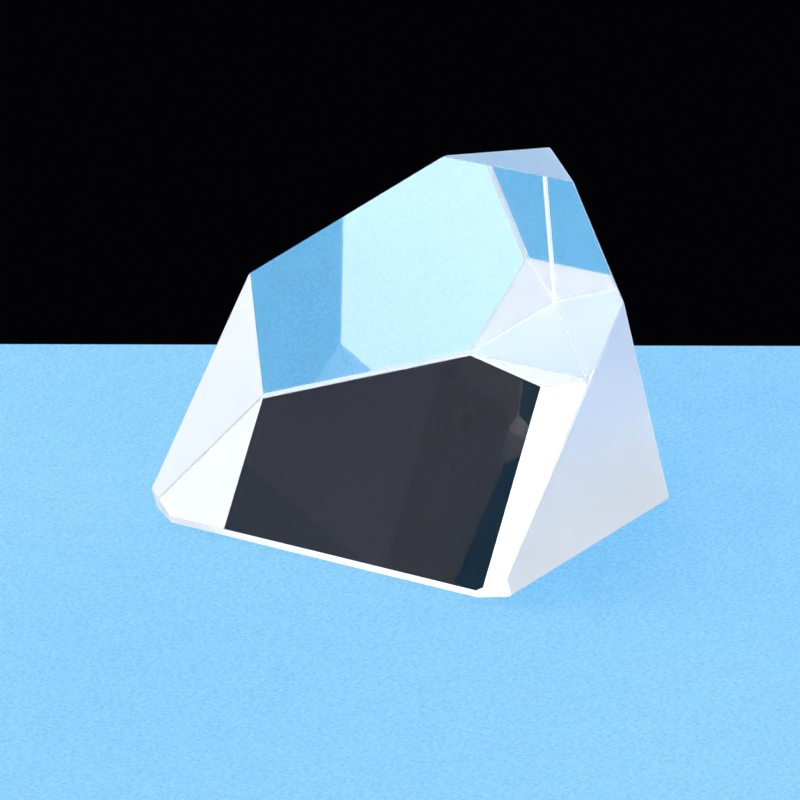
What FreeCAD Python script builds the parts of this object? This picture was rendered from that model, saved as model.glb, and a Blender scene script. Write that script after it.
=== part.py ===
import FreeCAD, Part
import math
import os

import Sketcher

# A 45 degree roof prism: one block of polished optical glass.
#
# Two polished faces, the front face and the base face, meet at a sharp angle of 45 degrees.
# Across the far end run two more polished faces, a roof of 90 degrees, whose ridge stands
# square to the plane that halves the wedge.  The sides, both ends of the ridge, the blunt
# front edge and its two corners are fine ground.  Every long edge has a small ground bevel,
# a little wider where the roof faces meet the base face.
#
# The block is drawn in its own lie: X runs from the front edge to the ridge, along the
# plane that halves the wedge, Y runs to the left and Z runs along the ridge.  A turn by
# half the wedge angle then lays the base face on the table.

# Driving dimensions, in millimetres and degrees

DIMENSIONS = [
    # name, value, what it is
    ("body_width", 30.0, "side to side, across the two ground sides"),
    ("wedge_angle", 45.0, "between the front face and the base face"),
    ("roof_angle", 90.0, "between the two roof faces"),
    ("ridge_distance", 35.6, "from the theoretical front edge to the theoretical ridge"),
    ("ridge_offset", 1.7, "ridge to the right of the middle of the width"),
    ("front_face_length", 32.6, "theoretical front edge to the top facet, along the front face"),
    ("base_face_length", 33.1, "theoretical front edge to the rear facet, along the base face"),
    ("strip_setback", 0.85, "theoretical front edge to the blunt strip, along either face"),
    ("right_corner_inset", 1.85, "right corner cut, across the width at the strip"),
    ("right_corner_reach", 2.25, "right corner cut, along the side from the theoretical edge"),
    ("left_corner_inset", 2.45, "left corner cut, across the width at the strip"),
    ("left_corner_reach", 2.60, "left corner cut, along the side from the theoretical edge"),
    ("ridge_flat", 0.25, "width of the ground flat along the ridge"),
    ("edge_bevel", 0.12, "leg of the small bevel on the long edges"),
    ("eave_bevel", 0.22, "leg of the wider bevel between the base face and each roof face"),
    ("cut_margin", 10.0, "how far the outer frame of the grinding cut stands off the wedge"),
    ("axis_setback", 15.0, "theoretical front edge to the optical axis, along the base face"),
]

doc = FreeCAD.newDocument("roof_prism")

sizes = doc.addObject("Spreadsheet::Sheet", "sizes")
for row, (alias, value, meaning) in enumerate(DIMENSIONS, start=1):
    sizes.set(f"A{row}", alias)
    sizes.set(f"B{row}", str(value))
    sizes.set(f"C{row}", meaning)
    sizes.setAlias(f"B{row}", alias)
doc.recompute()


def origin_plane(body, role):
    """One of the body's own origin planes."""
    return next(f for f in body.Origin.OriginFeatures if f.Role == role)


def closed_outline(sketch, corners):
    """Straight sides through the corners, joined end to end; returns their numbers."""
    count = len(corners)
    sides = []
    for i in range(count):
        start = FreeCAD.Vector(*corners[i], 0)
        end = FreeCAD.Vector(*corners[(i + 1) % count], 0)
        sides.append(sketch.addGeometry(Part.LineSegment(start, end), False))
    for i in range(count):
        follower = sides[(i + 1) % count]
        sketch.addConstraint(Sketcher.Constraint("Coincident", sides[i], 2, follower, 1))
    return sides


def drive(sketch, constraint, name, expression):
    """A named dimension of the sketch that follows an expression of the sheet."""
    index = sketch.addConstraint(constraint)
    sketch.renameConstraint(index, name)
    sketch.setExpression(f"Constraints.{name}", expression)


def guide(sketch, start, end):
    """A construction line, which makes no edge of the solid."""
    line = Part.LineSegment(FreeCAD.Vector(*start, 0), FreeCAD.Vector(*end, 0))
    return sketch.addGeometry(line, True)


# The block

body = doc.addObject("PartDesign::Body", "prism")
body.Label = "prism"

# The wedge, seen from its right side: front face, top facet, rear facet and base face.
# The top facet lies parallel to the base face, and the rear facet to the front face.

half_wedge = math.radians(sizes.wedge_angle / 2)
cos_half = math.cos(half_wedge)
sin_half = math.sin(half_wedge)
front_edge = (0, 0)
front_face_end = (sizes.front_face_length * cos_half, sizes.front_face_length * sin_half)
base_face_end = (sizes.base_face_length * cos_half, -sizes.base_face_length * sin_half)
facets_meet = (front_face_end[0] + base_face_end[0], front_face_end[1] + base_face_end[1])

profile = body.newObject("Sketcher::SketchObject", "wedge_profile")
profile.AttachmentSupport = (origin_plane(body, "XZ_Plane"), [""])
profile.MapMode = "FlatFace"
BASE_LINE, REAR_LINE, TOP_LINE, FRONT_LINE = closed_outline(
    profile, [front_edge, base_face_end, facets_meet, front_face_end])
profile.addConstraint(Sketcher.Constraint("Coincident", BASE_LINE, 1, -1, 1))
profile.addConstraint(Sketcher.Constraint("Parallel", TOP_LINE, BASE_LINE))
profile.addConstraint(Sketcher.Constraint("Parallel", REAR_LINE, FRONT_LINE))
drive(profile, Sketcher.Constraint("Angle", BASE_LINE, 1, -1, 1, half_wedge),
      "base_tilt", "sizes.wedge_angle / 2")
drive(profile, Sketcher.Constraint("Angle", BASE_LINE, 1, FRONT_LINE, 2, 2 * half_wedge),
      "wedge", "sizes.wedge_angle")
drive(profile, Sketcher.Constraint("Distance", FRONT_LINE, sizes.front_face_length),
      "front_length", "sizes.front_face_length")
drive(profile, Sketcher.Constraint("Distance", BASE_LINE, sizes.base_face_length),
      "base_length", "sizes.base_face_length")
doc.recompute()

wedge = body.newObject("PartDesign::Pad", "wedge")
wedge.Profile = profile
wedge.Midplane = True
wedge.setExpression("Length", "sizes.body_width")
doc.recompute()

# The roof, the blunt strip and its two corners, seen along the ridge.  All that lies
# outside this outline is ground away, the full height of the wedge.

half_width = sizes.body_width / 2
half_roof = math.radians(sizes.roof_angle / 2)
ridge = (sizes.ridge_distance, -sizes.ridge_offset)
right_eave_x = ridge[0] - (half_width + ridge[1]) / math.tan(half_roof)
left_eave_x = ridge[0] - (half_width - ridge[1]) / math.tan(half_roof)
strip_x = sizes.strip_setback * cos_half
strip_right = (strip_x, sizes.right_corner_inset - half_width)
strip_left = (strip_x, half_width - sizes.left_corner_inset)
right_side_start = (sizes.right_corner_reach * cos_half, -half_width)
left_side_start = (sizes.left_corner_reach * cos_half, half_width)
right_eave = (right_eave_x, -half_width)
left_eave = (left_eave_x, half_width)

plan = body.newObject("Sketcher::SketchObject", "plan_outline")
plan.AttachmentSupport = (origin_plane(body, "XY_Plane"), [""])
plan.MapMode = "FlatFace"
RIGHT_CORNER, RIGHT_SIDE, RIGHT_ROOF, LEFT_ROOF, LEFT_SIDE, LEFT_CORNER, STRIP = closed_outline(
    plan,
    [strip_right, right_side_start, right_eave, ridge, left_eave, left_side_start, strip_left],
)
plan.addConstraint(Sketcher.Constraint("Horizontal", RIGHT_SIDE))
plan.addConstraint(Sketcher.Constraint("Horizontal", LEFT_SIDE))
plan.addConstraint(Sketcher.Constraint("Vertical", STRIP))

# A guide line to the ridge, from which each roof face turns away by half the roof angle
spine = guide(plan, (0, ridge[1]), ridge)
plan.addConstraint(Sketcher.Constraint("Horizontal", spine))
plan.addConstraint(Sketcher.Constraint("PointOnObject", spine, 1, -2))
plan.addConstraint(Sketcher.Constraint("Coincident", spine, 2, RIGHT_ROOF, 2))
drive(plan, Sketcher.Constraint("DistanceX", spine, 1, spine, 2, ridge[0]),
      "ridge_distance", "sizes.ridge_distance")
drive(plan, Sketcher.Constraint("DistanceY", spine, 1, -1, 1, -ridge[1]),
      "ridge_offset", "sizes.ridge_offset")
drive(plan, Sketcher.Constraint("Angle", spine, 2, RIGHT_ROOF, 2, half_roof),
      "right_half_roof", "sizes.roof_angle / 2")
drive(plan, Sketcher.Constraint("Angle", LEFT_ROOF, 1, spine, 2, half_roof),
      "left_half_roof", "sizes.roof_angle / 2")

drive(plan, Sketcher.Constraint("DistanceY", RIGHT_SIDE, 1, -1, 1, half_width),
      "right_side", "sizes.body_width / 2")
drive(plan, Sketcher.Constraint("DistanceY", -1, 1, LEFT_SIDE, 1, half_width),
      "left_side", "sizes.body_width / 2")
drive(plan, Sketcher.Constraint("DistanceX", -1, 1, STRIP, 1, strip_x),
      "strip", "sizes.strip_setback * cos(sizes.wedge_angle / 2)")
drive(plan, Sketcher.Constraint("DistanceX", -1, 1, RIGHT_CORNER, 2, right_side_start[0]),
      "right_reach", "sizes.right_corner_reach * cos(sizes.wedge_angle / 2)")
drive(plan, Sketcher.Constraint("DistanceX", -1, 1, LEFT_CORNER, 1, left_side_start[0]),
      "left_reach", "sizes.left_corner_reach * cos(sizes.wedge_angle / 2)")
drive(plan, Sketcher.Constraint("DistanceY", RIGHT_CORNER, 1, -1, 1, -strip_right[1]),
      "right_inset", "sizes.body_width / 2 - sizes.right_corner_inset")
drive(plan, Sketcher.Constraint("DistanceY", -1, 1, LEFT_CORNER, 2, strip_left[1]),
      "left_inset", "sizes.body_width / 2 - sizes.left_corner_inset")


# A frame round the outline, so that the cut takes everything between the two
margin = sizes.cut_margin
frame_length = facets_meet[0] + 2 * margin
frame_width = sizes.body_width + 2 * margin
low = (-margin, -frame_width / 2)
high = (low[0] + frame_length, frame_width / 2)
FRAME_NEAR, FRAME_LEFT, FRAME_FAR, FRAME_RIGHT = closed_outline(
    plan, [low, (low[0], high[1]), high, (high[0], low[1])])
for line in (FRAME_LEFT, FRAME_RIGHT):
    plan.addConstraint(Sketcher.Constraint("Horizontal", line))
for line in (FRAME_NEAR, FRAME_FAR):
    plan.addConstraint(Sketcher.Constraint("Vertical", line))
drive(plan, Sketcher.Constraint("DistanceX", FRAME_NEAR, 1, -1, 1, margin),
      "frame_near", "sizes.cut_margin")
drive(plan, Sketcher.Constraint("DistanceY", FRAME_NEAR, 1, -1, 1, frame_width / 2),
      "frame_right", "sizes.body_width / 2 + sizes.cut_margin")
drive(plan, Sketcher.Constraint("DistanceY", FRAME_NEAR, 1, FRAME_NEAR, 2, frame_width),
      "frame_width", "sizes.body_width + 2 * sizes.cut_margin")
drive(plan, Sketcher.Constraint("DistanceX", FRAME_LEFT, 1, FRAME_LEFT, 2, frame_length),
      "frame_length",
      "(sizes.front_face_length + sizes.base_face_length) * cos(sizes.wedge_angle / 2)"
      " + 2 * sizes.cut_margin")
doc.recompute()

roof_cut = body.newObject("PartDesign::Pocket", "roof_and_corners")
roof_cut.Profile = plan
roof_cut.Type = "ThroughAll"
roof_cut.Midplane = True
doc.recompute()


# The small ground bevels run along every edge between two of the large faces, but not along
# the strip and its corners, which stay as they were ground.  The eaves, where the roof faces
# meet the base face, have a wider one, and the ridge gets a flat of its own at the end.

sin_roof = math.sin(half_roof)
cos_roof = math.cos(half_roof)
LARGE_FACES = {
    "front face": (-sin_half, 0, cos_half),
    "base face": (-sin_half, 0, -cos_half),
    "top facet": (sin_half, 0, cos_half),
    "rear facet": (sin_half, 0, -cos_half),
    "right roof face": (sin_roof, -cos_roof, 0),
    "left roof face": (sin_roof, cos_roof, 0),
    "right side": (0, -1, 0),
    "left side": (0, 1, 0),
}
ROOF_FACES = {"right roof face", "left roof face"}
EAVES = [{"base face", roof_face} for roof_face in ROOF_FACES]
SAME_DIRECTION = 0.001  # radians


def name_of(face):
    """The name of a large face, found by the way it looks, or None."""
    outward = face.normalAt(0, 0)
    for name, direction in LARGE_FACES.items():
        if outward.getAngle(FreeCAD.Vector(*direction)) < SAME_DIRECTION:
            return name
    return None


def edges_between_large_faces(shape):
    """Edge name and the set of its two face names, for each edge between large faces."""
    found = {}
    for number, edge in enumerate(shape.Edges, start=1):
        names = {name_of(face) for face in shape.ancestorsOfType(edge, Part.Face)}
        if len(names) == 2 and None not in names:
            found[f"Edge{number}"] = names
    return found


def bevel(name, base, wanted, size):
    """A chamfer on those edges between large faces whose pair of faces is wanted."""
    edges = edges_between_large_faces(base.Shape)
    chamfer = body.newObject("PartDesign::Chamfer", name)
    chamfer.Base = (base, [edge for edge, faces in edges.items() if wanted(faces)])
    chamfer.setExpression("Size", size)
    doc.recompute()
    return chamfer


eaves = bevel("eave_bevels", roof_cut, lambda faces: faces in EAVES, "sizes.eave_bevel")
bevels = bevel("edge_bevels", eaves, lambda faces: faces != ROOF_FACES, "sizes.edge_bevel")
ridge_flat = bevel("ridge_flat", bevels, lambda faces: faces == ROOF_FACES,
                   "sizes.ridge_flat / (2 * sin(sizes.roof_angle / 2))")
body.Tip = ridge_flat
doc.recompute()

# The block lies on its base face, with the origin where the optical axis goes through it

body.Placement = FreeCAD.Placement(
    FreeCAD.Vector(-sizes.axis_setback, 0, 0),
    FreeCAD.Rotation(FreeCAD.Vector(0, 1, 0), -sizes.wedge_angle / 2),
)
body.setExpression("Placement.Base.x", "-sizes.axis_setback")
body.setExpression("Placement.Rotation.Angle", "-sizes.wedge_angle / 2")
doc.recompute()


# Every object has to be sound before the solid is written

for item in doc.Objects:
    if "Invalid" in item.State or "Error" in item.State:
        raise RuntimeError(f"{item.Label} failed: {item.State}")
for sketch in (profile, plan):
    if not sketch.FullyConstrained:
        raise RuntimeError(f"{sketch.Label} isn't fully constrained")
if roof_cut.Shape.Volume >= wedge.Shape.Volume:
    raise RuntimeError("the roof cut took nothing away")
if eaves.Shape.Volume >= roof_cut.Shape.Volume:
    raise RuntimeError("the eave bevels took nothing away")
if bevels.Shape.Volume >= eaves.Shape.Volume:
    raise RuntimeError("the bevels took nothing away")
if ridge_flat.Shape.Volume >= bevels.Shape.Volume:
    raise RuntimeError("the ridge flat took nothing away")

os.makedirs("parts", exist_ok=True)
for piece in (body,):
    shape = piece.Shape
    if shape.isNull() or not shape.isValid() or len(shape.Solids) != 1:
        raise RuntimeError(f"{piece.Label} isn't one sound solid")
    shape.exportStep(f"parts/{piece.Label}.step")
    box = shape.BoundBox
    print(f"{piece.Label}: {len(shape.Faces)} faces, {shape.Volume:.1f} mm3,"
          f" X {box.XMin:.2f} to {box.XMax:.2f}, Y {box.YMin:.2f} to {box.YMax:.2f},"
          f" Z {box.ZMin:.2f} to {box.ZMax:.2f}")
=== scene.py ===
# %% [markdown]
# A roof prism of optical glass
#
# The object is one block of clear glass, bounded by eight large flat faces, a blunt front
# strip, two small corner cuts and narrow bevels.  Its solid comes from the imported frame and
# keeps its exact shape, because a prism is nothing but its planes: each picture inside the
# glass is there only if every face lies at its true angle.  Extra bevels or a subdivision
# would bend those pictures, so this lesson models nothing new.  It is about the finish of
# the faces, some polished and some fine ground, and about a plain studio in which clear
# glass can be seen at all.

# %% Load the frame
import math

import bpy
from mathutils import Matrix, Vector

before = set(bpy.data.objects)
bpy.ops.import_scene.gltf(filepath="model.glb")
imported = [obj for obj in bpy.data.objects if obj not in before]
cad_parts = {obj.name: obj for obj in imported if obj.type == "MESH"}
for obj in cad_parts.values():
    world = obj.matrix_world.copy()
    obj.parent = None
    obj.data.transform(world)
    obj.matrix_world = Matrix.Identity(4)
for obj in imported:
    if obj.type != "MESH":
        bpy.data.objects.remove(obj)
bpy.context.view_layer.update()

MM = 0.001
prism = bpy.data.objects["prism"]
print("nodes:", list(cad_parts))

# %% [markdown]
# Where the polished faces lie
#
# Four faces are polished: the base face that the block lies on, the front face that rises
# from the front edge, and the two faces of the roof at the far end.  All the others are fine
# ground.  A face could be picked by hand, or by the way its normal points, but inside the
# glass a ray meets each face from behind and reads the normal turned round.  A plane has no
# such trouble: a point belongs to a face when it lies in the face's plane, whichever side it
# is seen from.  Each plane's direction follows from the two angles of the prism, and its
# distance is measured on the solid, as far as that reaches in the plane's direction.

# %% The planes of the polished faces
WEDGE_ANGLE = math.radians(45)
ROOF_ANGLE = math.radians(90)

half_wedge = WEDGE_ANGLE / 2
half_roof = ROOF_ANGLE / 2
upwards = Vector((0, 0, 1))
leftwards = Vector((0, 1, 0))
towards_ridge = Vector((math.cos(half_wedge), 0, math.sin(half_wedge)))

polished_directions = {
    "base face": -upwards,
    "front face": Vector((-math.sin(WEDGE_ANGLE), 0, math.cos(WEDGE_ANGLE))),
    "left roof face": math.sin(half_roof) * towards_ridge + math.cos(half_roof) * leftwards,
    "right roof face": math.sin(half_roof) * towards_ridge - math.cos(half_roof) * leftwards,
}


def reach(direction):
    """How far the solid reaches in a direction, from the origin, in metres."""
    return max(direction.dot(vertex.co) for vertex in prism.data.vertices)


polished_planes = {name: (way, reach(way)) for name, way in polished_directions.items()}
for name, (way, distance) in polished_planes.items():
    print(f"{name}: {distance / MM:.3f} mm from the origin")

# %% [markdown]
# Shader maths that reads as sums
#
# A material is a tree of nodes, and each sum in it is a Math node.  Wired by hand, even a
# short formula fills the screen.  So a socket is wrapped in a small class whose operators add
# those nodes, and one minus a mask is written 1 - mask.  Every other node comes from one
# method of the material's recipe, which takes its type, its settings and its sockets.

# %% Signals and recipes
class Signal:
    """A socket of a node tree, with arithmetic on numbers."""

    def __init__(self, recipe, socket):
        self.recipe = recipe
        self.socket = socket

    def maths(self, operation, *numbers):
        sockets = dict(enumerate(numbers))
        return self.recipe.node("ShaderNodeMath", {"operation": operation}, sockets)

    def __add__(self, other):
        return self.maths("ADD", self, other)

    __radd__ = __add__

    def __sub__(self, other):
        return self.maths("SUBTRACT", self, other)

    def __rsub__(self, other):
        return self.maths("SUBTRACT", other, self)

    def __mul__(self, other):
        return self.maths("MULTIPLY", self, other)

    __rmul__ = __mul__

    def __abs__(self):
        return self.maths("ABSOLUTE", self)

    def below(self, limit):
        return self.maths("LESS_THAN", self, limit)

    def larger(self, other):
        return self.maths("MAXIMUM", self, other)


class Recipe:
    """A material or a world that starts empty and is filled node by node."""

    def __init__(self, owner):
        self.owner = owner
        owner.use_nodes = True
        self.tree = owner.node_tree
        self.tree.nodes.clear()

    def node(self, kind, settings=None, sockets=None, output=0):
        """One node: its settings first, then values or links for its sockets."""
        made = self.tree.nodes.new(kind)
        for name, value in (settings or {}).items():
            setattr(made, name, value)
        for name, value in (sockets or {}).items():
            if isinstance(value, Signal):
                self.tree.links.new(value.socket, made.inputs[name])
            else:
                made.inputs[name].default_value = value
        return Signal(self, made.outputs[output]) if made.outputs else None

    def noise(self, place, grain, detail=2.0, roughness=0.5):
        """A cloudy pattern from 0 to 1 whose spots are about one grain wide.

        Detail adds finer spots inside them, and roughness says how much those count."""
        sockets = {
            "Vector": place,
            "Scale": 1 / grain,
            "Detail": detail,
            "Roughness": roughness,
        }
        return self.node("ShaderNodeTexNoise", {}, sockets)

    def blend(self, share, first, second):
        """A colour between two colours: the first at 0, the second at 1."""
        COLOUR_A, COLOUR_B, COLOUR_OUT = 6, 7, 2
        sockets = {0: share, COLOUR_A: first, COLOUR_B: second}
        return self.node("ShaderNodeMix", {"data_type": "RGBA"}, sockets, output=COLOUR_OUT)


print("Signal and Recipe are ready")

# %% [markdown]
# Polished or ground
#
# The mask is 1 on the four polished planes and 0 on everything else: the sides, the facets at
# both ends of the ridge, the blunt front strip, the corner cuts, the bevels and the flat along
# the ridge.  The planes get a tolerance far below a bevel's width, so the narrow ground
# bevels beside them stay ground, as they are on a real prism, and draw its white lines.

# %% The mask of the polished faces
PLANE_TOLERANCE = 0.004 * MM


def polished_mask(recipe, place):
    """1 where a point lies in one of the polished planes, and 0 elsewhere."""
    mask = 0
    for way, distance in polished_planes.values():
        along = recipe.node(
            "ShaderNodeVectorMath",
            {"operation": "DOT_PRODUCT"},
            {0: place, 1: way},
            output="Value",
        )
        on_plane = abs(along - distance).below(PLANE_TOLERANCE)
        mask = on_plane.larger(mask)
    return mask


print("plane tolerance:", PLANE_TOLERANCE / MM, "mm")

# %% [markdown]
# Clear glass with a ground skin
#
# Optical crown glass bends light by 1.5168 and has no colour of its own at this thickness.
# Its polished faces are smoother than a wavelength of light, so their roughness is nil: with
# even a little, the sharp edges of the pictures inside would swim.  All that shows of such a
# face is what it bends and mirrors.  White with full transmission gives just that.
#
# Grinding with loose grit leaves a skin of pits a few hundredths of a millimetre wide.  They
# scatter light both ways, so a ground face is milky from outside, and from inside it glows
# when light falls on its back.  Both finishes belong to one block, so one glass shader wears
# both, and the mask takes the roughness, the clouding and the pits off the polished faces.
# Two patterns keep the ground ones from looking like plastic: the pits, as fine grain in the
# roughness and the surface, and a soft clouding a few millimetres wide, where the grinding
# went unevenly.

# %% The glass
GLASS_BENDING = 1.5168
WATER_WHITE = (1, 1, 1, 1)
CLOUD_TINT = (0.93, 0.95, 1.0, 1)
GROUND_ROUGHNESS = 0.60
NOISE_MIDDLE = 0.5
PIT_SIZE = 0.06 * MM
PIT_FINENESS = 0.6
PIT_DEPTH = 0.004 * MM
PIT_STRENGTH = 0.3
PIT_ROUGHNESS = 0.12
CLOUD_SIZE = 3.5 * MM
CLOUD_DETAIL = 3.0
CLOUD_ROUGHNESS = 0.08

glass = Recipe(bpy.data.materials.new("optical_glass"))
place = glass.node("ShaderNodeTexCoord", output="Object")
ground = 1 - polished_mask(glass, place)
pits = glass.noise(place, PIT_SIZE, roughness=PIT_FINENESS)
clouds = glass.noise(place, CLOUD_SIZE, detail=CLOUD_DETAIL)
uneven = PIT_ROUGHNESS * (pits - NOISE_MIDDLE) + CLOUD_ROUGHNESS * (clouds - NOISE_MIDDLE)
pitted = glass.node(
    "ShaderNodeBump",
    {},
    {"Strength": PIT_STRENGTH, "Distance": PIT_DEPTH, "Height": ground * pits},
)
block = glass.node(
    "ShaderNodeBsdfPrincipled",
    {},
    {
        "Base Color": glass.blend(ground * clouds, WATER_WHITE, CLOUD_TINT),
        "Transmission Weight": 1.0,    # glass all through
        "IOR": GLASS_BENDING,
        "Roughness": ground * (GROUND_ROUGHNESS + uneven),
        "Normal": pitted,
    },
)
print("glass bends light by", GLASS_BENDING)

# %% [markdown]
# The glow of ground glass
#
# Rough glass alone spreads light round the straight way on, and real ground glass also sends
# some out on every side.  So each ground face is a blend of rough glass, which keeps a soft
# sheen, and a translucent shader for the glow.  The polished faces get none of it.

# %% The glow and the finished glass
GLOW_SHARE = 0.64
GLOW_COLOUR = (0.98, 0.99, 1.0, 1)

glow = glass.node("ShaderNodeBsdfTranslucent", {}, {"Color": GLOW_COLOUR})
surface = glass.node("ShaderNodeMixShader", {}, {0: GLOW_SHARE * ground, 1: block, 2: glow})
glass.node("ShaderNodeOutputMaterial", {}, {"Surface": surface})
for slot in prism.material_slots:
    slot.material = glass.owner
print("nodes in the glass:", len(glass.tree.nodes), "on slots:", len(prism.material_slots))

# %% [markdown]
# The camera
#
# The view is fitted, not guessed: the corners of a prism are exact points, so one camera is
# right for all of them at once, and the pictures inside the glass agree with it too.  It looks
# down at about 20 degrees, from in front and to the right of the front edge, with a long lens
# that keeps the block's edges nearly parallel.

# %% The fitted camera
CAMERA_AZIMUTH = math.radians(32.552)      # the way it looks, from +X towards +Y
CAMERA_ELEVATION = math.radians(20.350)
CAMERA_ROLL = math.radians(0.136)
CAMERA_DISTANCE = 372.02 * MM
CAMERA_TARGET = Vector((-3.565, 0, 8.548)) * MM
IMAGE_SIDE = 800
FOCAL_PIXELS = 5228.5
SENSOR = 36.0
NEAREST_SIGHT = 10 * MM

view_flat = Vector((math.cos(CAMERA_AZIMUTH), math.sin(CAMERA_AZIMUTH), 0))
view_way = math.cos(CAMERA_ELEVATION) * view_flat - math.sin(CAMERA_ELEVATION) * upwards
view_right = view_flat.cross(upwards)
camera_data = bpy.data.cameras.new("camera")
camera_data.sensor_width = SENSOR
camera_data.lens = FOCAL_PIXELS / IMAGE_SIDE * SENSOR
camera_data.clip_start = NEAREST_SIGHT
camera = bpy.data.objects.new("camera", camera_data)
bpy.context.scene.collection.objects.link(camera)
turn = view_way.to_track_quat("-Z", "Y").to_matrix() @ Matrix.Rotation(CAMERA_ROLL, 3, "Z")
place_of_camera = Matrix.Translation(CAMERA_TARGET - CAMERA_DISTANCE * view_way)
camera.matrix_world = place_of_camera @ turn.to_4x4()
bpy.context.scene.camera = camera
print(f"lens {camera_data.lens:.0f} mm at {CAMERA_DISTANCE / MM:.0f} mm")

# %% [markdown]
# The floor
#
# Clear glass shows the floor more than itself: two of the pictures inside are views of it,
# taken through the base.  It is plain and pale, with a fine grain, and ends a little behind the
# block, so that the dark backdrop begins there.  Under the block less light arrives, and a
# floor lit by lamps alone would look dull through the glass.  So part of its colour is
# steady, wherever it is looked at, straight, in a mirror or through clear glass, and the rest
# is lit, which keeps the block's soft shadow.  Scattered light gets only the lit part, which
# is paler, so that the ground faces stay white.

# %% The floor's paint
FLOOR_PALE = (0.78, 0.86, 0.86, 1)
FLOOR_BLUE = (0.04, 0.51, 0.98, 1)
STEADY_SHARE = 0.72
FLOOR_ROUGHNESS = 0.9
FLOOR_GRAIN = 0.30 * MM
FLOOR_FINENESS = 0.7
FLOOR_MOTTLE = 3.0 * MM
GRAIN_SHARE = 0.9
GRAIN_CONTRAST = 2.5
GRAIN_DEPTH = 0.16


def grained(recipe, fleck, colour):
    """A colour that is a little darker in the hollows of a grain and lighter on its tips."""
    hollows = tuple((1 - GRAIN_DEPTH) * c for c in colour[:3]) + (1,)
    tips = tuple((1 + GRAIN_DEPTH) * c for c in colour[:3]) + (1,)
    return recipe.blend(fleck, hollows, tips)


paint = Recipe(bpy.data.materials.new("floor_paint"))
spot = paint.node("ShaderNodeTexCoord", output="Object")
grain = paint.noise(spot, FLOOR_GRAIN, roughness=FLOOR_FINENESS)
mottle = paint.noise(spot, FLOOR_MOTTLE)
pattern = GRAIN_SHARE * grain + (1 - GRAIN_SHARE) * mottle
fleck = GRAIN_CONTRAST * (pattern - NOISE_MIDDLE) + NOISE_MIDDLE
lit = paint.node(
    "ShaderNodeBsdfPrincipled",
    {},
    {
        "Base Color": grained(paint, fleck, FLOOR_PALE),
        "Roughness": FLOOR_ROUGHNESS,
    },
)
steady = paint.node("ShaderNodeEmission", {}, {"Color": grained(paint, fleck, FLOOR_BLUE)})
straight = paint.node("ShaderNodeLightPath", output="Is Camera Ray")
mirrored = paint.node("ShaderNodeLightPath", output="Is Glossy Ray")
through_glass = paint.node("ShaderNodeLightPath", output="Is Transmission Ray")
scattered = paint.node("ShaderNodeLightPath", output="Is Diffuse Ray")
seen = straight.larger(mirrored).larger(through_glass) * (1 - scattered)
skin = paint.node("ShaderNodeMixShader", {}, {0: STEADY_SHARE * seen, 1: lit, 2: steady})
paint.node("ShaderNodeOutputMaterial", {}, {"Surface": skin})
paint.owner.cycles.emission_sampling = "NONE"
print("steady share of the floor:", STEADY_SHARE)

# %% The floor's sheet
FLOOR_DROP = 0.05 * MM
FLOOR_BEHIND = 32.5 * MM
FLOOR_AHEAD = 400 * MM
FLOOR_HALF_WIDTH = 400 * MM

bpy.ops.object.select_all(action="DESELECT")
bpy.ops.mesh.primitive_plane_add(size=2)
floor = bpy.context.object
floor.name = "floor"
for vertex in floor.data.vertices:
    side = vertex.co.x * FLOOR_HALF_WIDTH
    depth = FLOOR_BEHIND if vertex.co.y > 0 else -FLOOR_AHEAD
    vertex.co = side * view_right + depth * view_flat - FLOOR_DROP * upwards
floor.data.materials.append(paint.owner)
print("the floor ends", FLOOR_BEHIND / MM, "mm behind the origin")

# %% [markdown]
# The lamps
#
# Each face of the block looks into the studio in its own way, so each lamp is placed for the
# face that it fills.  A softbox on the left mirrors in the large hazy picture of the upper
# face.  A pale wall on the left is seen straight through the glass beside the front corner.
# Panels behind the block and a low card behind the floor's end light the ground faces from
# the back.  Panels in front and overhead fill the rest, the overhead one a little cool, and
# those that reach the right side a little violet.  The lamps themselves stay out of the
# camera's view.  Nothing stands where the upper right of the backdrop is seen through the
# block, and that is what makes the dark window in its front face.

# %% A soft panel
PANEL_DISTANCE = 1.0


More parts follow.
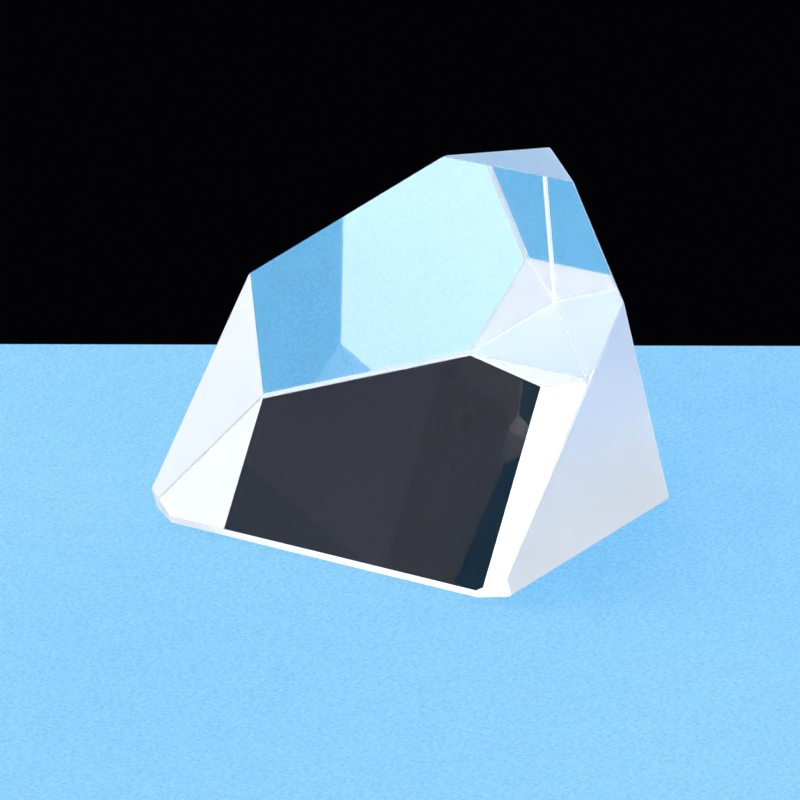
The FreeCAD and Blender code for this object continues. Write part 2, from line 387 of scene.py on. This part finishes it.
def light_panel(name, azimuth, elevation, width, height, brightness, colour):
    """A soft panel of light that faces the prism, with directions and sizes in degrees.

    Seen from the prism it spans width by height, and a brightness of 1 looks white."""
    around, up = math.radians(azimuth), math.radians(elevation)
    level = math.cos(up)
    way = Vector((level * math.cos(around), level * math.sin(around), math.sin(up)))
    data = bpy.data.lights.new(name, "AREA")
    data.shape = "RECTANGLE"
    data.size = 2 * PANEL_DISTANCE * math.tan(math.radians(width / 2))
    data.size_y = 2 * PANEL_DISTANCE * math.tan(math.radians(height / 2))
    data.energy = brightness * data.size * data.size_y * math.pi
    data.color = colour
    panel = bpy.data.objects.new(name, data)
    bpy.context.scene.collection.objects.link(panel)
    facing = (-way).to_track_quat("-Z", "Y").to_matrix().to_4x4()
    panel.matrix_world = Matrix.Translation(way * PANEL_DISTANCE) @ facing
    panel.visible_camera = False
    print(f"{name}: {width} by {height} degrees, brightness {brightness}")


# %% The lamps in place
WHITE = (1.0, 1.0, 1.0)
COOL = (0.74, 0.88, 1.0)
VIOLET = (0.60, 0.56, 1.0)

# name, azimuth, elevation, width, height, brightness, colour
light_panel("left_softbox", 150, 20, 30, 28, 6.2, WHITE)
light_panel("left_wall", 90, 15, 50, 30, 1.15, WHITE)
light_panel("back_panel", 0, 12, 60, 24, 4.8, WHITE)
light_panel("back_left_panel", 48, 14, 32, 26, 0.4, WHITE)
light_panel("low_back_card", 22, -14, 56, 24, 3.6, VIOLET)
light_panel("rear_upper_panel", 55, 45, 56, 28, 3.4, WHITE)
light_panel("overhead_panel", 0, 85, 56, 56, 0.5, COOL)
light_panel("front_left_panel", -168, 24, 40, 40, 4.2, WHITE)
light_panel("front_right_panel", -112, 26, 60, 44, 2.4, VIOLET)

# %% [markdown]
# The backdrop
#
# The world is all but black.  Seen through the block it turns into the dark window, and every
# bit of light in it would be a grey veil over that window.

# %% The dark backdrop
BACKDROP = (0.001, 0.001, 0.0015, 1)

backdrop = bpy.data.worlds.new("backdrop")
bpy.context.scene.world = backdrop
room = Recipe(backdrop)
dark = room.node("ShaderNodeBackground", {}, {"Color": BACKDROP})
room.node("ShaderNodeOutputWorld", {}, {"Surface": dark})
print("backdrop:", BACKDROP[:3])

# %% [markdown]
# Long paths
#
# Light runs to and fro between the faces before it leaves, and a path that is cut short ends
# black.  So light that goes through glass or off a mirror gets room for every path that still
# carries some, and scattered light gets the few bounces that still show.

# %% Bounces and view
LONGEST_PATH = 24
MIRROR_BOUNCES = 12
SCATTER_BOUNCES = 4

scene = bpy.context.scene
scene.view_settings.view_transform = "Standard"
scene.cycles.max_bounces = LONGEST_PATH
scene.cycles.transmission_bounces = LONGEST_PATH
scene.cycles.glossy_bounces = MIRROR_BOUNCES
scene.cycles.diffuse_bounces = SCATTER_BOUNCES
print("longest path:", LONGEST_PATH, "bounces")
